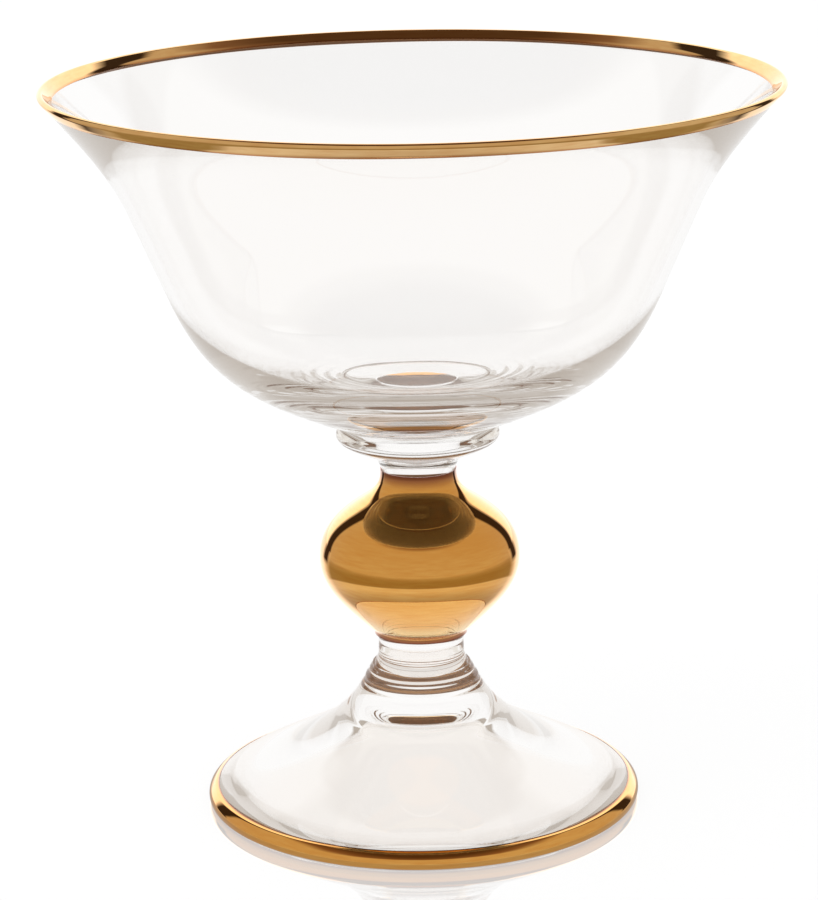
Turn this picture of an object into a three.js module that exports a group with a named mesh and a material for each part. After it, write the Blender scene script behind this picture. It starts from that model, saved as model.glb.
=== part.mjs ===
// Footed sherbet glass: clear glass gathers fused face to face, with gold on the lip, knop and foot edge.
// Every piece is turned about Z. The origin is the centre of the resting ring, and +Z points up.
import * as THREE from 'three';

// Foot: bell with a rounded edge, a kicked-up hollow underside and a collar that carries the stem
const footRadius = 34.6;
const footHeight = 22.4;
const footEdgeRound = 1.95;
const footRingWidth = 2.6;
const footKickHeight = 14;
const footKickTopReach = 6;
const footKickShoulderRadius = 9.5;
const footKickShoulderHeight = 11;
const footKickSteepness = 55;
const footKickReach = 3;
const footHollowRise = 10;
const footHollowReach = 8;
const footRise = 28;
const footRiseReach = 7.4;
const footShoulderRadius = 13.8;
const footShoulderHeight = 14;
const footShoulderSteepness = 49;
const footShoulderReach = 4.6;
const collarRise = 38;
const collarRiseReach = 3.6;
const collarTopRadius = 7.85;
const collarTopSteepness = 60;
const collarTopReach = 3.1;

// Lower neck: waisted spool between the collar and the knop
const lowerNeckHeight = 5.2;
const lowerNeckWaistRadius = 6.85;
const lowerNeckFootRadius = 7.6;
const lowerNeckTopRadius = 7.5;
const lowerNeckFlare = 30;
const lowerNeckReach = 1.2;

// Knop: solid bulb, widest a little below its middle
const knopHeight = 27.1;
const knopRadius = 15.8;
const knopWaistHeight = 12.8;
const knopLand = 0.4;
const knopLowerTurnRadius = 8.9;
const knopLowerTurnHeight = 2;
const knopLowerSteepness = 45;
const knopLowerTurnReach = 1;
const knopLowerFilletReach = 0.9;
const knopLowerReach = 5.2;
const knopLowerWaistReach = 4.3;
const knopUpperTurnRadius = 8.95;
const knopUpperTurnHeight = 22.15;
const knopUpperSteepness = 33;
const knopUpperTurnReach = 1.9;
const knopUpperFilletReach = 2.4;
const knopUpperReach = 3.9;
const knopUpperWaistReach = 4.7;

// Upper neck: short spool that widens into the merese
const upperNeckHeight = 2;
const upperNeckRadius = 6.1;
const upperNeckTopRadius = 6.8;
const upperNeckFlare = 35;
const upperNeckReach = 0.8;

// Merese: round-edged button that carries the bowl
const mereseHeight = 5.8;
const mereseRadius = 12.95;
const mereseEdgeHeight = 3.7;
const mereseRise = 28;
const mereseRiseReach = 3.4;
const mereseEdgeReach = 1.3;
const mereseTopRadius = 12.5;
const mereseTopReach = 0.9;

// Bowl: rounded underside, straight leaning wall and flared lip
const bowlHeight = 53.7;
const bowlFloorThickness = 6.1;
const bowlFloorReach = 20.6;
const bowlInnerCornerReach = 15.6;
const bowlUndersideRise = 21;
const bowlUndersideReach = 15.9;
const bowlCornerReach = 13.6;
const bowlWallFootRadius = 38.65;
const bowlWallFootHeight = 21.3;
const bowlWallLean = 23;
const bowlWallLength = 14.3;
const bowlWallThickness = 1.5;
const bowlFlareReach = 7.1;
const lipReach = 10.7;
const lipLean = 41;
const lipThickness = 0.9;
const rimRadius = 57.5;

// Gilding: fired gold, drawn thick enough to be a solid
const gildingThickness = 0.2;
const gildingClearance = 0.05;
const rimBandOutside = 1.9;
const rimBandInside = 1.9;
const footBandLift = 0.1;

// Facets
const turnSegments = 36;
const longCurveSteps = 7;
const shortCurveSteps = 3;
const lipSteps = 5;
const edgeSteps = 8;

// Heights of the fused faces, and the skin that the gold adds to the glass
const gildingSkin = gildingClearance + gildingThickness;
const lowerNeckZ = footHeight;
const knopZ = lowerNeckZ + lowerNeckHeight;
const upperNeckZ = knopZ + knopHeight;
const mereseZ = upperNeckZ + upperNeckHeight;
const bowlZ = mereseZ + mereseHeight;
const lipZ = bowlZ + bowlHeight;

const degrees = THREE.MathUtils.degToRad;
const point = (radius, height) => new THREE.Vector2(radius, height);

// A point at a distance from another, along an angle measured from the outward direction towards up
function along(start, angle, distance) {
  return point(start.x + distance * Math.cos(degrees(angle)), start.y + distance * Math.sin(degrees(angle)));
}

// A smooth outline that leaves its start and reaches its end in set directions
function sweep(start, startAngle, startReach, end, endAngle, endReach) {
  return new THREE.CubicBezierCurve(
    start,
    along(start, startAngle, startReach),
    along(end, endAngle, -endReach),
    end,
  );
}

// Points of a circular arc, both ends included
function arc(centre, radius, startAngle, endAngle, steps) {
  return Array.from({ length: steps + 1 }, (unused, index) =>
    along(centre, startAngle + ((endAngle - startAngle) * index) / steps, radius));
}

// The last stretch of a curve, of a set length, as evenly spaced points that end where the curve ends
function lastStretch(curve, length, steps) {
  const start = 1 - length / curve.getLength();
  return Array.from({ length: steps + 1 }, (unused, index) =>
    curve.getPointAt(start + ((1 - start) * index) / steps));
}

// The same outline moved to its right-hand side, which is outside the glass on an outline that runs upwards
function offset(outline, distance) {
  return outline.map((here, index) => {
    const before = outline[Math.max(index - 1, 0)];
    const after = outline[Math.min(index + 1, outline.length - 1)];
    const direction = after.clone().sub(before).normalize();
    return point(here.x + direction.y * distance, here.y - direction.x * distance);
  });
}

// Joins stretches of outline and drops the points that two of them share
function joined(...stretches) {
  return stretches.flat().filter((here, index, all) => index === 0 || !here.equals(all[index - 1]));
}

// A solid turned about Z from an outline that runs up the outside and comes back inside
function turned(name, outline, material) {
  const geometry = new THREE.LatheGeometry(outline, turnSegments);
  geometry.rotateX(Math.PI / 2);
  const mesh = new THREE.Mesh(geometry, material);
  mesh.name = name;
  return mesh;
}

// A thin skin over an outline, closed on itself
function gilded(name, outline) {
  const outside = offset(outline, gildingSkin);
  const inside = offset(outline, gildingClearance).reverse();
  return turned(name, [...outside, ...inside, outside[0]], gold);
}

const clearGlass = new THREE.MeshStandardMaterial({
  color: '#f4f1ec',
  roughness: 0.03,
  metalness: 0,
  transparent: true,
  opacity: 0.35,
});
const gold = new THREE.MeshStandardMaterial({ color: '#d6a24a', roughness: 0.12, metalness: 1 });

// Foot
const footEdgeCentre = point(footRadius - footEdgeRound, footEdgeRound);
const footEdgeTopAngle = 90 - footRise;
const footEdge = arc(footEdgeCentre, footEdgeRound, -90, footEdgeTopAngle, edgeSteps);
const footShoulder = point(footShoulderRadius, footShoulderHeight);
const footFlare = sweep(
  footEdge.at(-1), 180 - footRise, footRiseReach,
  footShoulder, 180 - footShoulderSteepness, footShoulderReach,
);
const footCollar = sweep(
  footShoulder, 180 - collarRise, collarRiseReach,
  point(collarTopRadius, footHeight), 180 - collarTopSteepness, collarTopReach,
);
const footKickShoulder = point(footKickShoulderRadius, footKickShoulderHeight);
const footKick = sweep(
  point(0, footKickHeight), 0, footKickTopReach,
  footKickShoulder, -footKickSteepness, footKickReach,
);
const footHollow = sweep(
  footKickShoulder, -footKickSteepness, footKickReach,
  point(footEdgeCentre.x - footRingWidth, 0), -footHollowRise, footHollowReach,
);
const foot = turned('foot', joined(
  footKick.getPoints(longCurveSteps),
  footHollow.getPoints(longCurveSteps),
  footEdge,
  footFlare.getPoints(longCurveSteps),
  footCollar.getPoints(shortCurveSteps),
  [point(0, footHeight)],
), clearGlass);

// Lower neck
const lowerNeckWaist = point(lowerNeckWaistRadius, lowerNeckZ + lowerNeckHeight / 2);
const lowerNeckLowerSide = sweep(
  point(lowerNeckFootRadius, lowerNeckZ), 90 + lowerNeckFlare, lowerNeckReach,
  lowerNeckWaist, 90, lowerNeckReach,
);
const lowerNeckUpperSide = sweep(
  lowerNeckWaist, 90, lowerNeckReach,
  point(lowerNeckTopRadius, knopZ), 90 - lowerNeckFlare, lowerNeckReach,
);
const lowerNeck = turned('lower_neck', joined(
  [point(0, lowerNeckZ)],
  lowerNeckLowerSide.getPoints(shortCurveSteps),
  lowerNeckUpperSide.getPoints(shortCurveSteps),
  [point(0, knopZ)],
), clearGlass);

// Knop, whose gilded ends are flush with the necks
const knopFoot = point(lowerNeckTopRadius - gildingSkin, knopZ);
const knopLowerTurn = point(knopLowerTurnRadius, knopZ + knopLowerTurnHeight);
const knopWaist = point(knopRadius, knopZ + knopWaistHeight);
const knopUpperTurn = point(knopUpperTurnRadius, knopZ + knopUpperTurnHeight);
const knopTop = point(upperNeckRadius - gildingSkin, upperNeckZ);
const knopLowerFillet = sweep(
  along(knopFoot, 90, knopLand), 90, knopLowerFilletReach,
  knopLowerTurn, knopLowerSteepness, knopLowerTurnReach,
);
const knopLowerSide = sweep(
  knopLowerTurn, knopLowerSteepness, knopLowerReach,
  knopWaist, 90, knopLowerWaistReach,
);
const knopUpperSide = sweep(
  knopWaist, 90, knopUpperWaistReach,
  knopUpperTurn, 180 - knopUpperSteepness, knopUpperReach,
);
const knopUpperFillet = sweep(
  knopUpperTurn, 180 - knopUpperSteepness, knopUpperTurnReach,
  along(knopTop, 90, -knopLand), 90, knopUpperFilletReach,
);
const knopSide = joined(
  [knopFoot],
  knopLowerFillet.getPoints(shortCurveSteps),
  knopLowerSide.getPoints(longCurveSteps),
  knopUpperSide.getPoints(longCurveSteps),
  knopUpperFillet.getPoints(shortCurveSteps),
  [knopTop],
);
const knop = turned('knop', [point(0, knopZ), ...knopSide, point(0, upperNeckZ)], clearGlass);

// Upper neck
const upperNeckSide = sweep(
  point(upperNeckRadius, upperNeckZ), 90, upperNeckReach,
  point(upperNeckTopRadius, mereseZ), 90 - upperNeckFlare, upperNeckReach,
);
const upperNeck = turned('upper_neck', joined(
  [point(0, upperNeckZ)],
  upperNeckSide.getPoints(shortCurveSteps),
  [point(0, mereseZ)],
), clearGlass);

// Merese
const mereseEdge = point(mereseRadius, mereseZ + mereseEdgeHeight);
const mereseUnderside = sweep(
  point(upperNeckTopRadius, mereseZ), mereseRise, mereseRiseReach,
  mereseEdge, 90, mereseEdgeReach,
);
const mereseUpperSide = sweep(
  mereseEdge, 90, mereseTopReach,
  point(mereseTopRadius, bowlZ), 90, mereseTopReach,
);
const merese = turned('merese', joined(
  [point(0, mereseZ)],
  mereseUnderside.getPoints(longCurveSteps),
  mereseUpperSide.getPoints(shortCurveSteps),
  [point(0, bowlZ)],
), clearGlass);

// Bowl
const wallAngle = 90 - bowlWallLean;
const lipAngle = 90 - lipLean;
const lipRound = lipThickness / 2;
const lipCentre = point(rimRadius - gildingSkin - lipRound, lipZ - lipRound);
const wallFoot = point(bowlWallFootRadius, bowlZ + bowlWallFootHeight);
const wallTop = along(wallFoot, wallAngle, bowlWallLength);
const innerWallFoot = along(wallFoot, wallAngle + 90, bowlWallThickness);
const innerWallTop = along(wallTop, wallAngle + 90, bowlWallThickness);
const bowlUnderside = sweep(
  point(mereseTopRadius, bowlZ), bowlUndersideRise, bowlUndersideReach,
  wallFoot, wallAngle, bowlCornerReach,
);
const bowlFlare = sweep(
  wallTop, wallAngle, bowlFlareReach,
  along(lipCentre, lipAngle - 90, lipRound), lipAngle, lipReach,
);
const bowlInnerFlare = sweep(
  innerWallTop, wallAngle, bowlFlareReach,
  along(lipCentre, lipAngle + 90, lipRound), lipAngle, lipReach,
);
const bowlFloor = sweep(
  point(0, bowlZ + bowlFloorThickness), 0, bowlFloorReach,
  innerWallFoot, wallAngle, bowlInnerCornerReach,
);
const lip = arc(lipCentre, lipRound, lipAngle - 90, lipAngle + 90, lipSteps);
const bowl = turned('bowl', joined(
  [point(0, bowlZ)],
  bowlUnderside.getPoints(longCurveSteps),
  bowlFlare.getPoints(longCurveSteps),
  lip,
  bowlInnerFlare.getPoints(longCurveSteps).reverse(),
  bowlFloor.getPoints(longCurveSteps).reverse(),
), clearGlass);

// Gilding
const rimGilding = gilded('rim_gilding', joined(
  lastStretch(bowlFlare, rimBandOutside, shortCurveSteps),
  lip,
  lastStretch(bowlInnerFlare, rimBandInside, shortCurveSteps).reverse(),
));
const knopGilding = gilded('knop_gilding', knopSide);
const footBandFall = (footEdgeRound - footBandLift) / (footEdgeRound + gildingSkin);
const footBandLowAngle = -THREE.MathUtils.radToDeg(Math.asin(footBandFall));
const footGilding = gilded('foot_gilding', arc(
  footEdgeCentre, footEdgeRound, footBandLowAngle, footEdgeTopAngle, edgeSteps,
));

const sherbetGlass = new THREE.Group();
sherbetGlass.add(foot, lowerNeck, knop, upperNeck, merese, bowl, rimGilding, knopGilding, footGilding);

export default sherbetGlass;
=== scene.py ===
import bpy
import numpy as np
from math import cos, pi, radians, sin
from mathutils import Matrix, Vector


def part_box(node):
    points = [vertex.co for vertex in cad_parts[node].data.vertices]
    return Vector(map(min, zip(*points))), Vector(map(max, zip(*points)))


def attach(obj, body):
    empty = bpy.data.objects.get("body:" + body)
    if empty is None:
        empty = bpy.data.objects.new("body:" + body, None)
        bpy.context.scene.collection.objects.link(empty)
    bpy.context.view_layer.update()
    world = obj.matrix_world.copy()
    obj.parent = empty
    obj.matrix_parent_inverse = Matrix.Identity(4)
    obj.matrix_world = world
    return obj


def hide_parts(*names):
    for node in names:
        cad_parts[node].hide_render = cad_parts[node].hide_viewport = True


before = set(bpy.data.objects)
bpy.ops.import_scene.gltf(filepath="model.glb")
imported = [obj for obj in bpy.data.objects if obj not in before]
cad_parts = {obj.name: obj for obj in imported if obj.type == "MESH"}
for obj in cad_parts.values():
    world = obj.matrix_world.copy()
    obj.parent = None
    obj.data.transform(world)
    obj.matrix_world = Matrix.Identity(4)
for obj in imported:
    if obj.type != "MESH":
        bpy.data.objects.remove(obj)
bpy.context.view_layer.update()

mm = 0.001
axisLimit = 1e-9  # mm: a smaller radius is a point on the axis
creaseAngle = 38  # degrees: a sharper turn between two faces stays an edge
toolWobble = 0.4  # the share of a tool ring's skew that comes round twice in a turn
scene = bpy.context.scene


# Outlines are lists of (radius, height) in millimetres that run up the outside of a piece

def along(start, angle, distance):
    return np.add(start, (distance * cos(radians(angle)), distance * sin(radians(angle))))


def sweep(start, startAngle, startReach, end, endAngle, endReach, steps):  # a curve between two headings
    a, d = np.asarray(start, float), np.asarray(end, float)
    b, c = along(a, startAngle, startReach), along(d, endAngle, -endReach)
    t = np.linspace(0, 1, steps + 1)[:, None]
    return (1 - t) ** 3 * a + 3 * (1 - t) ** 2 * t * b + 3 * (1 - t) * t ** 2 * c + t ** 3 * d


def arc(centre, radius, startAngle, endAngle, steps):
    angles = np.linspace(startAngle, endAngle, steps + 1)
    return np.array([along(centre, angle, radius) for angle in angles])


def lengthsAlong(outline):
    return np.append(0, np.cumsum(np.hypot(*np.diff(outline, axis=0).T)))


def stretchOf(outline, fromLength, toLength, steps):  # an even cut of an outline between two lengths along it
    lengths = lengthsAlong(outline)
    wanted = np.linspace(fromLength, toLength, steps + 1)
    return np.stack([np.interp(wanted, lengths, outline[:, i]) for i in (0, 1)], axis=1)


def smoothShare(values):
    share = np.clip(values, 0, 1)
    return share * share * (3 - 2 * share)


def sidewaysOf(outline):  # unit steps out of the glass, on the right hand of the outline
    direction = np.gradient(outline, axis=0)
    direction /= np.hypot(*direction.T)[:, None]
    return np.stack([direction[:, 1], -direction[:, 0]], axis=1)


def tooled(outline, rings, angle):  # soft rings left by the turning tool, a little askew
    lengths = lengthsAlong(outline)
    share = smoothShare(lengths / rings["wave"]) * smoothShare((lengths[-1] - lengths) / rings["fade"])
    askew = sin(angle + rings["tilt"]) + toolWobble * sin(2 * angle)
    turns = 2 * pi * lengths / rings["wave"] + rings["skew"] * askew
    return outline + sidewaysOf(outline) * (rings["height"] * share * np.sin(turns))[:, None]


def turnPiece(name, outlineAt, finishes, segments, thinnessAndPaintedPale=None):
    # outlineAt(angle) gives a list of (points, finish number): each starts where the one before it ends, and
    # together they close on themselves or on the axis
    rings, finishOf = [], []
    for k in range(segments):
        angle = 2 * pi * k / segments
        stretches = outlineAt(angle)
        points = np.concatenate([p if i == 0 else p[1:] for i, (p, _) in enumerate(stretches)])
        rings.append([(r * cos(angle) * mm, r * sin(angle) * mm, z * mm) for r, z in points])
        if k == 0:
            radii = points[:, 0]
            for p, finish in stretches:
                finishOf += [finish] * (len(p) - 1)
    closedLoop = radii[0] > axisLimit  # a skin closes on itself, a solid ends on the axis
    count = len(radii)
    vertices, number = [], {}
    for j in range(count):
        onAxis = radii[j] < axisLimit
        for k in range(segments):
            if closedLoop and j == count - 1:
                number[j, k] = number[0, k]
            elif onAxis and k:
                number[j, k] = number[j, 0]
            else:
                number[j, k] = len(vertices)
                vertices.append(rings[k][j])
    faces, slots = [], []
    for j in range(count - 1):
        for k in range(segments):
            following = (k + 1) % segments
            corners = [number[j, k], number[j, following], number[j + 1, following], number[j + 1, k]]
            corners = [c for i, c in enumerate(corners) if c not in corners[:i]]
            if len(corners) > 2:
                faces.append(corners)
                slots.append(finishOf[j])
    mesh = bpy.data.meshes.new(name)
    mesh.from_pydata(vertices, [], faces)
    for finish in finishes:
        mesh.materials.append(finish)
    mesh.polygons.foreach_set("material_index", slots)
    mesh.polygons.foreach_set("use_smooth", [True] * len(faces))
    mesh.set_sharp_from_angle(angle=radians(creaseAngle))
    if thinnessAndPaintedPale is not None:  # how thin the gold is, ring by ring: 1 worn through, and below 0 a painted pale reflection, -1 at its fullest
        wearAndPaintedPale = mesh.attributes.new("thinnessAndPaintedPale", "FLOAT", "POINT")
        wearAndPaintedPale.data.foreach_set("value", np.repeat(thinnessAndPaintedPale[:-1], segments))
    piece = bpy.data.objects.new(name, mesh)
    scene.collection.objects.link(piece)
    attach(piece, "root")
    print("turned", name, len(vertices), "points")
    return piece


def linear(hexText):
    channels = [int(hexText[i:i + 2], 16) / 255 for i in (1, 3, 5)]
    return [c / 12.92 if c <= 0.04045 else ((c + 0.055) / 1.055) ** 2.4 for c in channels] + [1]


def addNode(tree, kind, inputs=None, **settings):
    node = tree.nodes.new(kind)
    for setting, value in settings.items():
        setattr(node, setting, value)
    for socket, value in (inputs or {}).items():
        if isinstance(value, bpy.types.NodeSocket):
            tree.links.new(value, node.inputs[socket])
        else:
            node.inputs[socket].default_value = value
    return node


def addRamp(tree, factor, stops):
    ramp = addNode(tree, "ShaderNodeValToRGB", {"Fac": factor})
    for extra in stops[2:]:
        ramp.color_ramp.elements.new(extra[0])
    for element, (place, colour) in zip(ramp.color_ramp.elements, stops):
        element.position = place
        element.color = linear(colour)
    return ramp.outputs["Color"]


def newMaterial(name):
    material = bpy.data.materials.new(name)
    material.use_nodes = True
    material.node_tree.nodes.clear()
    return material, material.node_tree


# Materials

crystalLook = {  # sizes in millimetres; wander counts the bounces after which lost light is painted as a glow in the glass
    "tint": "#FEFDFC", "lostLightGlow": "#B2A79B", "wander": 18, "ior": 1.52,
    "cordSize": 14, "cordHeight": 0.006, "cordDetail": 2.0, "cordRoughness": 0.4,
}


def firePolishedCrystal():
    # Crystal glass, blown and fire-polished: water-clear, mirror-smooth, with faint cords that bend what
    # shows through it, and a pale painted glow, standing in for light that wanders about in the wall and
    # never comes out
    look = crystalLook
    material, tree = newMaterial("fire_polished_crystal")
    place = addNode(tree, "ShaderNodeTexCoord").outputs["Object"]
    cords = addNode(tree, "ShaderNodeTexNoise", {
        "Vector": place, "Scale": 1 / (look["cordSize"] * mm), "Detail": look["cordDetail"],
        "Roughness": look["cordRoughness"]})
    waves = addNode(tree, "ShaderNodeBump", {
        "Height": cords.outputs["Fac"], "Strength": 1.0, "Distance": look["cordHeight"] * mm})
    depth = addNode(tree, "ShaderNodeLightPath").outputs["Ray Depth"]
    lost = addNode(tree, "ShaderNodeMath", {0: depth, 1: look["wander"]}, operation="GREATER_THAN").outputs[0]
    # the emission is a painted glow: past wander bounces the glass glows, standing in for light lost in the
    # wall
    glass = addNode(tree, "ShaderNodeBsdfPrincipled", {
        "Base Color": linear(look["tint"]), "Roughness": 0.0, "IOR": look["ior"],
        "Transmission Weight": 1.0, "Normal": waves.outputs["Normal"],
        "Emission Color": linear(look["lostLightGlow"]), "Emission Strength": lost})
    addNode(tree, "ShaderNodeOutputMaterial", {"Surface": glass.outputs["BSDF"]})
    material.cycles.emission_sampling = "NONE"  # the painted glow shows, and lights nothing
    return material


goldLook = {  # sizes in millimetres
    "roughness": 0.028, "wornRoughness": 0.084, "glazeRoughness": 0.03,
    "brushWidth": 0.4, "brushHeight": 0.0007, "brushDetail": 2.0, "brushDrag": 0.12,
    "poolSize": 7, "poolDetail": 1.0, "toneLow": 0.12, "toneHigh": 0.40,
}
# pale is the tone of a painted reflection, laid on the knop's lower side
thickGold = {
    "face": "#F5BB63", "deep": "#ECA94E", "thin": "#8E4E3A", "pale": "#F8D593",
    "edge": "#FFFFFF", "glaze": 0.6,
}
rimTone = {
    "face": "#F2CC92", "deep": "#E4B478", "thin": "#C48856", "pale": "#F8D593",
    "edge": "#F1E4D2", "glaze": 0.3,
}
# depth is the colour of a painted glow, not a tone of the gold
backLook = {"face": "#A67D56", "deep": "#926A47", "depth": "#574738", "roughness": 0.16}


def brushStrokes(tree):  # places drawn out round the axis, and fine streaks on them
    place = addNode(tree, "ShaderNodeTexCoord").outputs["Object"]
    drag = (goldLook["brushDrag"], goldLook["brushDrag"], 1.0)
    drawnOut = addNode(tree, "ShaderNodeMapping", {"Vector": place, "Scale": drag}).outputs[0]
    streaks = addNode(tree, "ShaderNodeTexNoise", {
        "Vector": drawnOut, "Scale": 1 / (goldLook["brushWidth"] * mm), "Detail": goldLook["brushDetail"]})
    return drawnOut, streaks.outputs["Fac"]


def firedGold(name, tones):
    # Liquid bright gold, brushed on in a turning stroke and fired: a warm mirror with fine streaks round the
    # axis, deeper in tone where it pooled, painted paler where a painted pale reflection is laid on, and
    # red-brown where it thins out at an edge
    look = goldLook
    material, tree = newMaterial(name)
    drawnOut, streaks = brushStrokes(tree)
    pools = addNode(tree, "ShaderNodeTexNoise", {
        "Vector": drawnOut, "Scale": 1 / (look["poolSize"] * mm), "Detail": look["poolDetail"]})
    tone = addNode(tree, "ShaderNodeMath", {0: streaks, 1: pools.outputs["Fac"]},
                   operation="MULTIPLY").outputs[0]
    tone = addNode(tree, "ShaderNodeMapRange", {
        "Value": tone, "From Min": look["toneLow"], "From Max": look["toneHigh"]}).outputs[0]
    colour = addNode(tree, "ShaderNodeMix", {0: tone, 6: linear(tones["deep"]), 7: linear(tones["face"])},
                     data_type="RGBA").outputs[2]
    wearAndPaintedPale = addNode(tree, "ShaderNodeAttribute", attribute_name="thinnessAndPaintedPale").outputs["Fac"]
    colour = addNode(tree, "ShaderNodeMix", {0: wearAndPaintedPale, 6: colour, 7: linear(tones["thin"])},
                     data_type="RGBA").outputs[2]
    # a painted pale reflection: below 0 the share paints the gold paler
    paintedPale = addNode(tree, "ShaderNodeMath", {0: wearAndPaintedPale, 1: -1.0}, operation="MULTIPLY").outputs[0]
    colour = addNode(tree, "ShaderNodeMix", {0: paintedPale, 6: colour, 7: linear(tones["pale"])},
                     data_type="RGBA").outputs[2]
    ridges = addNode(tree, "ShaderNodeBump", {
        "Height": streaks, "Strength": 1.0, "Distance": look["brushHeight"] * mm}).outputs[0]
    shine = addNode(tree, "ShaderNodeMapRange", {
        "Value": wearAndPaintedPale, "To Min": look["roughness"], "To Max": look["wornRoughness"]}).outputs[0]
    gold = addNode(tree, "ShaderNodeBsdfPrincipled", {
        "Base Color": colour, "Metallic": 1.0, "Roughness": shine, "Normal": ridges,
        "Specular Tint": linear(tones["edge"]), "Coat Weight": tones["glaze"],
        "Coat Roughness": look["glazeRoughness"]})
    addNode(tree, "ShaderNodeOutputMaterial", {"Surface": gold.outputs["BSDF"]})
    return material


def goldThroughGlass():
    # The underside of the gold, where it grips the glass: a browner, redder mirror than its face, with a
    # faint painted glow of its own, standing in for light mirrored about inside the glass, so it is never
    # quite dark
    look = backLook
    material, tree = newMaterial("gold_seen_through_glass")
    streaks = brushStrokes(tree)[1]
    colour = addNode(tree, "ShaderNodeMix", {0: streaks, 6: linear(look["deep"]), 7: linear(look["face"])},
                     data_type="RGBA").outputs[2]
    # the emission is a painted glow: the gold's underside glows, standing in for light mirrored about in the
    # glass
    gold = addNode(tree, "ShaderNodeBsdfPrincipled", {
        "Base Color": colour, "Metallic": 1.0, "Roughness": look["roughness"],
        "Emission Color": linear(look["depth"]), "Emission Strength": 1.0})
    addNode(tree, "ShaderNodeOutputMaterial", {"Surface": gold.outputs["BSDF"]})
    return material


def fusedSeam():
    # Where two gathers were pressed together hot there is no surface left to see
    material, tree = newMaterial("fused_seam")
    clear = addNode(tree, "ShaderNodeBsdfTransparent")
    addNode(tree, "ShaderNodeOutputMaterial", {"Surface": clear.outputs["BSDF"]})
    return material


crystal = firePolishedCrystal()
gold = firedGold("fired_bright_gold", thickGold)
rimBright = firedGold("fired_rim_gold", rimTone)
goldBack = goldThroughGlass()
seam = fusedSeam()
glassFinishes = [crystal, seam, goldBack]
glassFace, seamFace, backedFace = 0, 1, 2
print("materials made")


# Heights where the gathers are fused, and the rim's top and radius, from the solids

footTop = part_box("foot")[1].z / mm
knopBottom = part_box("knop")[0].z / mm
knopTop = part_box("knop")[1].z / mm
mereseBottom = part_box("merese")[0].z / mm
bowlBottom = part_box("bowl")[0].z / mm
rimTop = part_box("rim_gilding")[1].z / mm
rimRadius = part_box("rim_gilding")[1].x / mm

goldSkin = {"thick": 0.2, "thin": 0.08, "clearance": 0.02, "edge": 0.03, "taper": 0.7}  # millimetres


def skinOver(outline, thickness, taperedEnds):  # a closed skin of gold, just off the glass
    lengths = lengthsAlong(outline)
    toEnd = np.minimum(lengths, lengths[-1] - lengths)
    share = smoothShare(toEnd / goldSkin["taper"]) if taperedEnds else np.ones(len(outline))
    height = goldSkin["clearance"] + goldSkin["edge"] + (thickness - goldSkin["edge"]) * share
    out = sidewaysOf(outline)
    outside = outline + out * height[:, None]
    inside = (outline + out * goldSkin["clearance"])[::-1]
    return np.concatenate([outside, inside, outside[:1]])


def thinEnds(outline, firstFade, lastFade):  # 1 at the skin's ends, 0 past the fades, ring by ring
    lengths = lengthsAlong(outline)
    thin = 1 - smoothShare(np.minimum(lengths / firstFade, (lengths[-1] - lengths) / lastFade))
    return np.concatenate([thin, thin[::-1], thin[:1]])


# Each piece has its sizes in millimetres and degrees, and the steps along its outline; s and n stand for them

# Foot: bell with a hollow underside and a collar

footShape = {
    "radius": 34.6, "edgeRound": 1.15, "edgeTurn": 42, "edgeShoulder": 5.5, "ringStart": 30.05,
    "kickHeight": 14, "kickTopReach": 6, "kickShoulder": (9.5, 11), "kickSteepness": 55, "kickReach": 3,
    "hollowRise": 10, "hollowReach": 8,
    "rise": 32, "riseReach": 8, "shoulder": (13.8, 14), "shoulderSteepness": 49, "shoulderReach": 4.6,
    "collarRise": 38, "collarRiseReach": 3.6, "collarTopRadius": 7.85, "collarTopSteepness": 60,
    "collarTopReach": 3.1, "seamRadius": 7.6, "bandLowAngle": -57, "goldFadeLow": 0.5, "goldFadeTop": 0.35,
}
footSteps = {
    "edge": 20, "edgeShoulder": 10, "kick": 30, "hollow": 30, "rest": 8, "flare": 40,
    "collar": 60, "collarFoot": 16, "collarHead": 60, "round": 240,
}
collarRings = {"height": 0.06, "wave": 1.5, "fade": 1.5, "skew": 0.5, "tilt": 0.6, "start": 4.2}
s, n = footShape, footSteps
footEdgeCentre = (s["radius"] - s["edgeRound"], s["edgeRound"])
footShoulderCentre = along(footEdgeCentre, s["edgeTurn"], s["edgeRound"] - s["edgeShoulder"])
footBand = np.concatenate([
    arc(footEdgeCentre, s["edgeRound"], s["bandLowAngle"], s["edgeTurn"], n["edge"]),
    arc(footShoulderCentre, s["edgeShoulder"], s["edgeTurn"], 90 - s["rise"], n["edgeShoulder"])[1:],
])
footHollow = np.concatenate([
    sweep((0, s["kickHeight"]), 0, s["kickTopReach"],
          s["kickShoulder"], -s["kickSteepness"], s["kickReach"], n["kick"]),
    sweep(s["kickShoulder"], -s["kickSteepness"], s["kickReach"],
          (s["ringStart"], 0), -s["hollowRise"], s["hollowReach"], n["hollow"])[1:],
])
footRest = arc(footEdgeCentre, s["edgeRound"], -90, s["bandLowAngle"], n["rest"])
footFlare = sweep(footBand[-1], 180 - s["rise"], s["riseReach"],
                  s["shoulder"], 180 - s["shoulderSteepness"], s["shoulderReach"], n["flare"])
collarTop = (s["collarTopRadius"], footTop)
footCollar = sweep(s["shoulder"], 180 - s["collarRise"], s["collarRiseReach"],
                   collarTop, 180 - s["collarTopSteepness"], s["collarTopReach"], n["collar"])
collarLength = lengthsAlong(footCollar)[-1]
collarFoot = stretchOf(footCollar, 0, collarLength - collarRings["start"], n["collarFoot"])
collarHead = stretchOf(footCollar, collarLength - collarRings["start"], collarLength, n["collarHead"])
footSeam = (s["seamRadius"], footTop)


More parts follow.
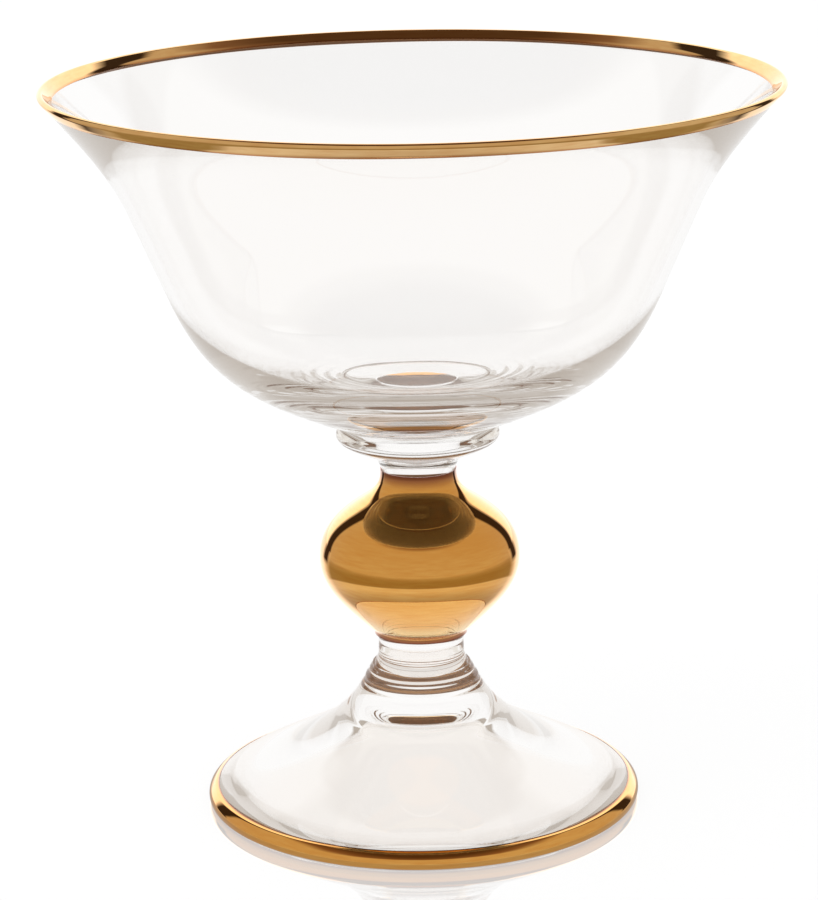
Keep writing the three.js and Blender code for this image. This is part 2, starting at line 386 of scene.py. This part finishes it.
def footOutline(angle):
    ringed = tooled(collarHead, collarRings, angle)
    return [
        (np.concatenate([footHollow, footRest]), glassFace),
        (footBand, backedFace),
        (np.concatenate([footFlare, collarFoot[1:], ringed[1:], [footSeam]]), glassFace),
        (np.array([footSeam, (0, footTop)]), seamFace),
    ]


foot = turnPiece("foot_crystal", footOutline, glassFinishes, n["round"])
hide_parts("foot")

footSkin = [(skinOver(footBand, goldSkin["thick"], True), 0)]
footThin = thinEnds(footBand, s["goldFadeLow"], s["goldFadeTop"])
footGold = turnPiece("foot_edge_gold", lambda angle: footSkin, [gold], n["round"], footThin)
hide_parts("foot_gilding")


# Lower neck: waisted spool between the collar and the knop

lowerNeckShape = {"waistRadius": 6.85, "topRadius": 7.25, "flare": 30, "reach": 1.2}
lowerNeckSteps = {"half": 16, "round": 160}
s, n = lowerNeckShape, lowerNeckSteps
lowerWaist = (s["waistRadius"], (footTop + knopBottom) / 2)
knopFoot = (s["topRadius"], knopBottom)
lowerNeckSide = np.concatenate([
    sweep(footSeam, 90 + s["flare"], s["reach"], lowerWaist, 90, s["reach"], n["half"]),
    sweep(lowerWaist, 90, s["reach"], knopFoot, 90 - s["flare"], s["reach"], n["half"])[1:],
])
lowerNeckOutline = [
    (np.array([(0, footTop), footSeam]), seamFace),
    (lowerNeckSide, glassFace),
    (np.array([knopFoot, (0, knopBottom)]), seamFace),
]
lowerNeck = turnPiece("lower_neck_crystal", lambda angle: lowerNeckOutline, glassFinishes, n["round"])
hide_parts("lower_neck")


# Knop: solid bulb under its gold

knopShape = {
    "radius": 15.8, "waistHeight": 12.8, "land": 0.4, "topRadius": 5.85,
    "lowerTurn": (8.9, 2), "lowerSteepness": 45, "lowerTurnReach": 1, "lowerFilletReach": 0.9,
    "lowerReach": 5.2, "lowerWaistReach": 4.3,
    "upperTurn": (8.95, 22.15), "upperSteepness": 33, "upperTurnReach": 1.9, "upperFilletReach": 2.4,
    "upperReach": 3.9, "upperWaistReach": 4.7, "goldFadeLow": 1.6, "goldFadeTop": 2.6,
}
knopSteps = {"lowerFillet": 10, "half": 30, "upperFillet": 14, "round": 160, "goldRound": 200}
paintedPaleBand = {"start": 1.1, "rise": 0.6, "end": 7.0, "fall": 4.0}  # where a painted pale reflection lies on the knop's lower side
s, n = knopShape, knopSteps
lowerTurn = (s["lowerTurn"][0], knopBottom + s["lowerTurn"][1])
upperTurn = (s["upperTurn"][0], knopBottom + s["upperTurn"][1])
knopWaist = (s["radius"], knopBottom + s["waistHeight"])
knopHead = (s["topRadius"], knopTop)
knopSide = np.concatenate([
    [knopFoot],
    sweep(along(knopFoot, 90, s["land"]), 90, s["lowerFilletReach"],
          lowerTurn, s["lowerSteepness"], s["lowerTurnReach"], n["lowerFillet"]),
    sweep(lowerTurn, s["lowerSteepness"], s["lowerReach"],
          knopWaist, 90, s["lowerWaistReach"], n["half"])[1:],
    sweep(knopWaist, 90, s["upperWaistReach"],
          upperTurn, 180 - s["upperSteepness"], s["upperReach"], n["half"])[1:],
    sweep(upperTurn, 180 - s["upperSteepness"], s["upperTurnReach"],
          along(knopHead, 90, -s["land"]), 90, s["upperFilletReach"], n["upperFillet"])[1:],
    [knopHead],
])
knopOutline = [
    (np.array([(0, knopBottom), knopFoot]), seamFace),
    (knopSide, backedFace),
    (np.array([knopHead, (0, knopTop)]), seamFace),
]
knop = turnPiece("knop_crystal", lambda angle: knopOutline, glassFinishes, n["round"])
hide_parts("knop")

knopLengths = lengthsAlong(knopSide)
# a painted pale reflection on the knop's lower side, from near its foot up towards its waist
paintedPaleShare = smoothShare((knopLengths - paintedPaleBand["start"]) / paintedPaleBand["rise"])
paintedPaleShare *= smoothShare((paintedPaleBand["end"] - knopLengths) / paintedPaleBand["fall"])
paintedPaleRings = np.concatenate([paintedPaleShare, paintedPaleShare[::-1], paintedPaleShare[:1]])
knopSkin = [(skinOver(knopSide, goldSkin["thick"], False), 0)]
knopThinAndPaintedPale = thinEnds(knopSide, s["goldFadeLow"], s["goldFadeTop"]) - paintedPaleRings
knopGold = turnPiece("knop_gold", lambda angle: knopSkin, [gold], n["goldRound"], knopThinAndPaintedPale)
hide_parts("knop_gilding")


# Upper neck: short spool that flares up to the merese

upperNeckShape = {"topRadius": 6.8, "rise": 70, "flare": 35, "reach": 0.8}
upperNeckSteps = {"side": 14, "round": 160}
s, n = upperNeckShape, upperNeckSteps
mereseFoot = (s["topRadius"], mereseBottom)
upperNeckSide = sweep(knopHead, s["rise"], s["reach"], mereseFoot, 90 - s["flare"], s["reach"], n["side"])
upperNeckOutline = [
    (np.array([(0, knopTop), knopHead]), seamFace),
    (upperNeckSide, glassFace),
    (np.array([mereseFoot, (0, mereseBottom)]), seamFace),
]
upperNeck = turnPiece("upper_neck_crystal", lambda angle: upperNeckOutline, glassFinishes, n["round"])
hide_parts("upper_neck")


# Merese: flattened button under the bowl

mereseShape = {
    "radius": 12.95, "edgeHeight": 3.7, "rise": 28, "riseReach": 3.4, "edgeReach": 1.3,
    "topRadius": 12.5, "topReach": 0.9,
}
mereseSteps = {"underside": 24, "edge": 12, "round": 160}
s, n = mereseShape, mereseSteps
mereseEdge = (s["radius"], mereseBottom + s["edgeHeight"])
bowlFoot = (s["topRadius"], bowlBottom)
mereseSide = np.concatenate([
    sweep(mereseFoot, s["rise"], s["riseReach"], mereseEdge, 90, s["edgeReach"], n["underside"]),
    sweep(mereseEdge, 90, s["topReach"], bowlFoot, 90, s["topReach"], n["edge"])[1:],
])
mereseOutline = [
    (np.array([(0, mereseBottom), mereseFoot]), seamFace),
    (mereseSide, glassFace),
    (np.array([bowlFoot, (0, bowlBottom)]), seamFace),
]
merese = turnPiece("merese_crystal", lambda angle: mereseOutline, glassFinishes, n["round"])
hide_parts("merese")


# Bowl: rounded underside, straight leaning wall, flared lip

bowlShape = {
    "floorThickness": 6.1, "floorReach": 20.6, "innerCornerReach": 15.6,
    "undersideRise": 21, "undersideReach": 15.9, "cornerReach": 13.6,
    "wallFoot": (38.65, 21.3), "wallLean": 23, "wallLength": 14.3, "wallThickness": 1.5,
    "flareReach": 7.1, "lipReach": 10.7, "lipLean": 41, "lipThickness": 0.85, "lipThinning": 4,
    "rimSpare": 0.01,
    "bandOutside": 1.9, "bandInside": 1.85, "goldFadeOutside": 0.7, "goldFadeInside": 0.5,
}
bowlSteps = {
    "underside": 70, "flare": 60, "floor": 80, "lip": 16, "band": 12,
    "underRings": 50, "outerWall": 56, "innerWall": 56, "floorRings": 40, "round": 360, "goldRound": 240,
}
underRings = {"height": 0.09, "wave": 2.6, "fade": 6, "skew": -3.6, "tilt": 1.9, "end": 9.5}
floorRings = {"height": 0.02, "wave": 4.6, "fade": 7, "skew": 1.2, "tilt": 0.6, "end": 13}
bandWander = {  # how far, how often in a turn and from which angle each edge of the band wanders
    "outside": [(0.06, 3, 0.7), (0.04, 7, 2.1)],
    "inside": [(0.10, 2, 1.1), (0.05, 9, 0.4)],
}
s, n = bowlShape, bowlSteps
wallAngle, lipAngle = 90 - s["wallLean"], 90 - s["lipLean"]
lipRound = s["lipThickness"] / 2
rimInset = lipRound + goldSkin["thin"] + goldSkin["clearance"] + s["rimSpare"]
lipCentre = (rimRadius - rimInset, rimTop - rimInset)
wallFoot = (s["wallFoot"][0], bowlBottom + s["wallFoot"][1])
wallTop = along(wallFoot, wallAngle, s["wallLength"])
innerWallFoot = along(wallFoot, wallAngle + 90, s["wallThickness"])
bowlUnderside = sweep(bowlFoot, s["undersideRise"], s["undersideReach"],
                      wallFoot, wallAngle, s["cornerReach"], n["underside"])
bowlFlare = sweep(wallTop, wallAngle, s["flareReach"],
                  along(lipCentre, lipAngle - 90, lipRound), lipAngle, s["lipReach"], n["flare"])
flareLengths = lengthsAlong(bowlFlare)
thinning = (flareLengths / flareLengths[-1]) ** s["lipThinning"]
flareThickness = s["wallThickness"] - (s["wallThickness"] - s["lipThickness"]) * thinning
innerFlare = bowlFlare - sidewaysOf(bowlFlare) * flareThickness[:, None]
bowlFloor = sweep((0, bowlBottom + s["floorThickness"]), 0, s["floorReach"],
                  innerWallFoot, wallAngle, s["innerCornerReach"], n["floor"])
lip = arc(lipCentre, lipRound, lipAngle - 90, lipAngle + 90, n["lip"])
outerWall = np.concatenate([bowlUnderside, bowlFlare])
innerWall = np.concatenate([bowlFloor, innerFlare])
outerLength, innerLength = lengthsAlong(outerWall)[-1], lengthsAlong(innerWall)[-1]


def bandStart(side, width, angle):  # the painter's hand: the band's edges wander a little
    return width + sum(far * sin(often * angle + start) for far, often, start in bandWander[side])


def bandEnds(angle):  # lengths along the outer and the inner wall where the gold starts
    outside = bandStart("outside", bowlShape["bandOutside"], angle)
    inside = bandStart("inside", bowlShape["bandInside"], angle)
    return outerLength - outside, innerLength - inside


def lipBand(angle):
    outerEnd, innerEnd = bandEnds(angle)
    return np.concatenate([
        stretchOf(outerWall, outerEnd, outerLength, bowlSteps["band"])[:-1],
        lip,
        stretchOf(innerWall, innerEnd, innerLength, bowlSteps["band"])[::-1][1:],
    ])


def bowlOutline(angle):
    outerEnd, innerEnd = bandEnds(angle)
    underside = stretchOf(outerWall, 0, underRings["end"], bowlSteps["underRings"])
    floor = stretchOf(innerWall, 0, floorRings["end"], bowlSteps["floorRings"])
    return [
        (np.array([(0, bowlBottom), bowlFoot]), seamFace),
        (tooled(underside, underRings, angle), glassFace),
        (stretchOf(outerWall, underRings["end"], outerEnd, bowlSteps["outerWall"]), glassFace),
        (lipBand(angle), backedFace),
        (stretchOf(innerWall, floorRings["end"], innerEnd, bowlSteps["innerWall"])[::-1], glassFace),
        (tooled(floor, floorRings, angle)[::-1], glassFace),
    ]


def rimSkin(angle):
    return [(skinOver(lipBand(angle), goldSkin["thin"], True), 0)]


bowl = turnPiece("bowl_crystal", bowlOutline, glassFinishes, n["round"])
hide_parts("bowl")

rimThin = thinEnds(lipBand(0), s["goldFadeOutside"], s["goldFadeInside"])
rimGold = turnPiece("rim_gold", rimSkin, [rimBright], n["goldRound"], rimThin)
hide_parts("rim_gilding")


# Stage: white glossy table in a warm room with a white backdrop

stageLook = {
    "backdrop": "#FFFFFF", "drapes": "#3C322B", "roomTone": "#D2C6B2", "paleRoom": "#EFEAE2",
    "beams": "#7A6A58", "roof": "#2E2620", "rafters": "#A78D82", "ridge": "#6B574A",
    "paintedUnderFootShade": "#FBF7F3", "paintedFootShadow": "#BCB6B0", "tableNear": "#E9E6E2", "tableFar": "#A5956E",
    "glow": 0.82, "fill": 0.97, "mirror": 0.42, "glare": 0.6,
}
roomPlan = {  # round the room from 0 in front to 1 behind, and up from 0 level to 1 overhead
    "wallEnd": 0.775, "drapeStart": 0.795, "drapeEnd": 0.86, "backdropStart": 0.885, "drapesLean": 0.08,
    "paleWallEnd": 0.765, "glowBandStart": 0.785, "glowBandEnd": 0.865, "paleBackdropStart": 0.89,
    "glareStart": 0.865, "glareFull": 0.89,
    "roofStart": 0.72, "beamHeight": 0.80, "roofHeight": 0.88,
    "ceilingStart": 0.76, "rafterHeight": 0.84, "ridgeHeight": 0.93,
}
tablePlan = {  # metres from the middle of the table, and round it from 0 at the sides to 1 behind
    "edge": 0.038, "nearStart": 0.065, "nearEnd": 0.083, "farStart": 0.087, "farEnd": 0.15, "roomStart": 0.36,
    "frontEnd": 0.5, "backStart": 0.75,
    "shadeStart": 0.55, "shadeFull": 0.62, "shadeEnd": 0.72, "shadeGone": 0.80,
    "shadeNear": 0.15, "shadeFar": 0.21,
    "underEdge": 0.042, "underEnd": 0.08, "mirrorNear": 0.09, "mirrorGone": 0.32,
    "mirrorSteep": 0.2, "mirrorFlat": 0.62,  # how flat the look along the table is, from 0 to 1
}
bentLight = {  # counts of turns and mirrorings on the way, and how much of the light is painted glow after them
    "roomStart": 5, "roomFull": 8, "lostStart": 1.5, "lostFull": 5, "lostInRoom": 0.85, "lostOnTable": 0.4,
    "clearing": 0.65,
}


def seenInGold(tree, light):  # 1 for what gold mirrors, 0 for what is seen in or through glass
    return addNode(tree, "ShaderNodeMath", {0: light["Is Singular Ray"], 1: light["Is Reflection Ray"]},
                   operation="LESS_THAN").outputs[0]


def lostInGlass(tree, light, most):  # the share of painted glow in light that was mirrored about inside the glass
    return addNode(tree, "ShaderNodeMapRange", {
        "Value": light["Glossy Depth"], "From Min": bentLight["lostStart"], "From Max": bentLight["lostFull"],
        "To Max": most}).outputs[0]


def makeSurround():
    # White all round for what is seen directly or straight through the glass, and the room for gold and for
    # bent light
    look, plan = stageLook, roomPlan
    lostLightGlow = crystalLook["lostLightGlow"]
    world = bpy.data.worlds.new("studio")
    scene.world = world
    world.use_nodes = True
    tree = world.node_tree
    tree.nodes.clear()
    light = addNode(tree, "ShaderNodeLightPath").outputs
    inGold = seenInGold(tree, light)
    way = addNode(tree, "ShaderNodeTexCoord").outputs["Generated"]
    height = addNode(tree, "ShaderNodeSeparateXYZ", {0: way}).outputs["Z"]
    level = addNode(tree, "ShaderNodeVectorMath", {0: way, 1: (1, 1, 0)}, operation="MULTIPLY").outputs[0]
    level = addNode(tree, "ShaderNodeVectorMath", {0: level}, operation="NORMALIZE").outputs[0]
    behind = addNode(tree, "ShaderNodeSeparateXYZ", {0: level}).outputs["Y"]
    behind = addNode(tree, "ShaderNodeMapRange", {"Value": behind, "From Min": -1, "From Max": 1}).outputs[0]
    leaning = addNode(tree, "ShaderNodeMath", {0: height, 1: -plan["drapesLean"], 2: behind},
                      operation="MULTIPLY_ADD").outputs[0]
    walls = addRamp(tree, leaning, [
        (plan["wallEnd"], look["roomTone"]), (plan["drapeStart"], look["drapes"]),
        (plan["drapeEnd"], look["drapes"]), (plan["backdropStart"], look["backdrop"])])
    # for glass, the band where the drapes stand shows in the painted glow's tone
    paleWalls = addRamp(tree, behind, [
        (plan["paleWallEnd"], look["paleRoom"]), (plan["glowBandStart"], lostLightGlow),
        (plan["glowBandEnd"], lostLightGlow), (plan["paleBackdropStart"], look["backdrop"])])
    walls = addNode(tree, "ShaderNodeMix", {0: inGold, 6: paleWalls, 7: walls}, data_type="RGBA").outputs[2]
    roof = addRamp(tree, height, [
        (plan["roofStart"], look["backdrop"]), (plan["beamHeight"], look["beams"]),
        (plan["roofHeight"], look["roof"])])
    ceiling = addRamp(tree, height, [
        (plan["ceilingStart"], look["backdrop"]), (plan["rafterHeight"], look["rafters"]),
        (plan["ridgeHeight"], look["ridge"])])
    roof = addNode(tree, "ShaderNodeMix", {0: inGold, 6: roof, 7: ceiling}, data_type="RGBA").outputs[2]
    room = addNode(tree, "ShaderNodeMix", {0: 1.0, 6: walls, 7: roof}, data_type="RGBA",
                   blend_type="MULTIPLY").outputs[2]
    bent = addNode(tree, "ShaderNodeMapRange", {
        "Value": light["Ray Depth"], "From Min": bentLight["roomStart"],
        "From Max": bentLight["roomFull"]}).outputs[0]
    bent = addNode(tree, "ShaderNodeMath", {0: light["Glossy Depth"], 1: bent}, operation="MAXIMUM",
                   use_clamp=True).outputs[0]
    straight = addNode(tree, "ShaderNodeMapRange", {
        "Value": light["Glossy Depth"], "To Min": bentLight["clearing"], "To Max": 0}).outputs[0]
    lost = lostInGlass(tree, light, bentLight["lostInRoom"])
    lost = addNode(tree, "ShaderNodeMath", {0: lost, 1: straight}, operation="MAXIMUM").outputs[0]
    room = addNode(tree, "ShaderNodeMix", {0: lost, 6: room, 7: linear(lostLightGlow)}, data_type="RGBA").outputs[2]
    seen = addNode(tree, "ShaderNodeMix", {0: bent, 6: roof, 7: room}, data_type="RGBA").outputs[2]
    fill = [look["fill"]] * 3 + [1]
    seen = addNode(tree, "ShaderNodeMix", {0: light["Is Diffuse Ray"], 6: seen, 7: fill},
                   data_type="RGBA").outputs[2]
    seen = addNode(tree, "ShaderNodeMix", {0: light["Is Camera Ray"], 6: seen, 7: linear(look["backdrop"])},
                   data_type="RGBA").outputs[2]
    glare = addNode(tree, "ShaderNodeMapRange", {
        "Value": leaning, "From Min": plan["glareStart"], "From Max": plan["glareFull"],
        "To Max": look["glare"]}).outputs[0]
    strength = addNode(tree, "ShaderNodeMath", {0: glare, 1: inGold, 2: 1.0},
                       operation="MULTIPLY_ADD").outputs[0]
    sky = addNode(tree, "ShaderNodeBackground", {"Color": seen, "Strength": strength})
    addNode(tree, "ShaderNodeOutputWorld", {"Surface": sky.outputs[0]})


def whiteAcrylic():
    # White acrylic sheet: glows white to the eye, takes a faint shadow, and mirrors what stands on it.
    # Gold mirrors painted tones on it out to the room: a painted shadow round the foot, painted shade where
    # the drapes stand and painted light behind; glass shows it nearly white, with painted shade under the
    # foot
    look, plan = stageLook, tablePlan
    material, tree = newMaterial("white_acrylic_table")
    light = addNode(tree, "ShaderNodeLightPath").outputs
    place = addNode(tree, "ShaderNodeTexCoord").outputs["Object"]
    away = addNode(tree, "ShaderNodeVectorMath", {0: place}, operation="LENGTH").outputs["Value"]
    level = addNode(tree, "ShaderNodeVectorMath", {0: place}, operation="NORMALIZE").outputs[0]
    behind = addNode(tree, "ShaderNodeSeparateXYZ", {0: level}).outputs["Y"]
    front = addNode(tree, "ShaderNodeMapRange", {
        "Value": behind, "From Min": plan["frontEnd"], "From Max": plan["backStart"],
        "To Min": 1, "To Max": 0}).outputs[0]
    # for gold: a painted shadow ring round the foot, the near table, then a painted reflection of the room
    # further out
    tones = addRamp(tree, away, [
        (plan["edge"], look["paintedFootShadow"]), (plan["nearStart"], look["tableNear"]),
        (plan["nearEnd"], look["tableNear"]), (plan["farStart"], look["tableFar"]),
        (plan["farEnd"], look["tableFar"]), (plan["roomStart"], look["roomTone"])])
    tones = addNode(tree, "ShaderNodeMix", {0: front, 6: linear(look["tableNear"]), 7: tones},
                    data_type="RGBA").outputs[2]
    # painted shade: the drapes' tone laid on the table at their side, seen only in gold
    shade = addRamp(tree, behind, [
        (plan["shadeStart"], look["backdrop"]), (plan["shadeFull"], look["drapes"]),
        (plan["shadeEnd"], look["drapes"]), (plan["shadeGone"], look["backdrop"])])
    far = addNode(tree, "ShaderNodeMapRange", {
        "Value": away, "From Min": plan["shadeNear"], "From Max": plan["shadeFar"]}).outputs[0]
    tones = addNode(tree, "ShaderNodeMix", {0: far, 6: tones, 7: shade}, data_type="RGBA",
                    blend_type="MULTIPLY").outputs[2]
    # painted light: behind, the table glows brighter than white for gold
    lit = addNode(tree, "ShaderNodeMapRange", {
        "Value": front, "To Min": 1 + look["glare"], "To Max": 1}).outputs[0]
    inGold = addNode(tree, "ShaderNodeEmission", {"Color": tones, "Strength": lit})
    # for glass: a painted shade under and round the foot, paling to white, then mixed with the painted glow
    under = addRamp(tree, away, [
        (plan["underEdge"], look["paintedUnderFootShade"]), (plan["underEnd"], look["backdrop"])])
    lost = lostInGlass(tree, light, bentLight["lostOnTable"])
    under = addNode(tree, "ShaderNodeMix", {0: lost, 6: under, 7: linear(crystalLook["lostLightGlow"])},
                    data_type="RGBA").outputs[2]
    inGlass = addNode(tree, "ShaderNodeEmission", {"Color": under})
    reflected = addNode(tree, "ShaderNodeMixShader", {
        0: seenInGold(tree, light), 1: inGlass.outputs[0], 2: inGold.outputs[0]})
    white = addNode(tree, "ShaderNodeEmission", {"Color": linear(look["backdrop"]), "Strength": look["glow"]})
    matt = addNode(tree, "ShaderNodeBsdfDiffuse", {"Color": [1 - look["glow"]] * 3 + [1]})
    sheet = addNode(tree, "ShaderNodeAddShader", {0: white.outputs[0], 1: matt.outputs[0]})
    shine = addNode(tree, "ShaderNodeBsdfAnisotropic", {"Color": (1, 1, 1, 1), "Roughness": 0.0})
    facing = addNode(tree, "ShaderNodeLayerWeight").outputs["Facing"]
    gloss = addNode(tree, "ShaderNodeMapRange", {
        "Value": facing, "From Min": plan["mirrorSteep"], "From Max": plan["mirrorFlat"],
        "To Max": look["mirror"]}).outputs[0]
    near = addNode(tree, "ShaderNodeMapRange", {
        "Value": away, "From Min": plan["mirrorNear"], "From Max": plan["mirrorGone"],
        "To Min": 1, "To Max": 0}).outputs[0]
    gloss = addNode(tree, "ShaderNodeMath", {0: gloss, 1: near}, operation="MULTIPLY").outputs[0]
    sheet = addNode(tree, "ShaderNodeMixShader", {0: gloss, 1: sheet.outputs[0], 2: shine.outputs[0]})
    seen = addNode(tree, "ShaderNodeMixShader", {
        0: light["Is Camera Ray"], 1: reflected.outputs[0], 2: sheet.outputs[0]})
    addNode(tree, "ShaderNodeOutputMaterial", {"Surface": seen.outputs[0]})
    return material


makeSurround()

tableSize = {"reach": 3.0, "drop": 0.02 * mm}  # metres; the drop keeps it clear of the foot
reach = tableSize["reach"]
tableMesh = bpy.data.meshes.new("table")
tableMesh.from_pydata([(-reach, -reach, 0), (reach, -reach, 0), (reach, reach, 0), (-reach, reach, 0)], [],
                      [(0, 1, 2, 3)])
tableMesh.materials.append(whiteAcrylic())
table = bpy.data.objects.new("table", tableMesh)
table.location.z = -tableSize["drop"]
scene.collection.objects.link(table)

softLamp = {"size": 0.9, "place": (-0.5, -0.3, 0.9), "power": 3.0, "aim": (0, 0, 0.05)}  # metres and watts
lampData = bpy.data.lights.new("soft_lamp", "AREA")
lampData.size = softLamp["size"]
lampData.energy = softLamp["power"]
lamp = bpy.data.objects.new("soft_lamp", lampData)
lamp.location = softLamp["place"]
lamp.rotation_euler = (Vector(softLamp["aim"]) - lamp.location).to_track_quat("-Z", "Y").to_euler()
lamp.visible_glossy = False  # its square would show in the gold and the glass
lamp.visible_transmission = False
scene.collection.objects.link(lamp)
print("stage set")


# Camera, fitted to the edges of the rim and the foot in the picture

cameraFit = {  # millimetres and degrees; the focal length and the picture's height are in pixels
    "place": (0, -506.9, 194.0), "pitch": 15.064, "yaw": 0.161, "roll": -1.01,
    "focal": 3314.7, "pictureHeight": 900, "sensorWidth": 36,
}
s = cameraFit
cameraData = bpy.data.cameras.new("camera")
cameraData.sensor_width = s["sensorWidth"]
cameraData.lens = s["focal"] / s["pictureHeight"] * s["sensorWidth"]
camera = bpy.data.objects.new("camera", cameraData)
turn = (Matrix.Rotation(radians(s["yaw"]), 4, "Z") @ Matrix.Rotation(radians(90 - s["pitch"]), 4, "X")
        @ Matrix.Rotation(radians(s["roll"]), 4, "Z"))
camera.matrix_world = Matrix.Translation(Vector(s["place"]) * mm) @ turn
scene.collection.objects.link(camera)
scene.camera = camera

bounceLimit = 32  # of each kind
scene.view_settings.view_transform = "Standard"
scene.cycles.max_bounces = crystalLook["wander"]  # light that wanders on ends in the painted glow
scene.cycles.glossy_bounces = bounceLimit
scene.cycles.transmission_bounces = bounceLimit
scene.cycles.transparent_max_bounces = bounceLimit

print("scene ready")
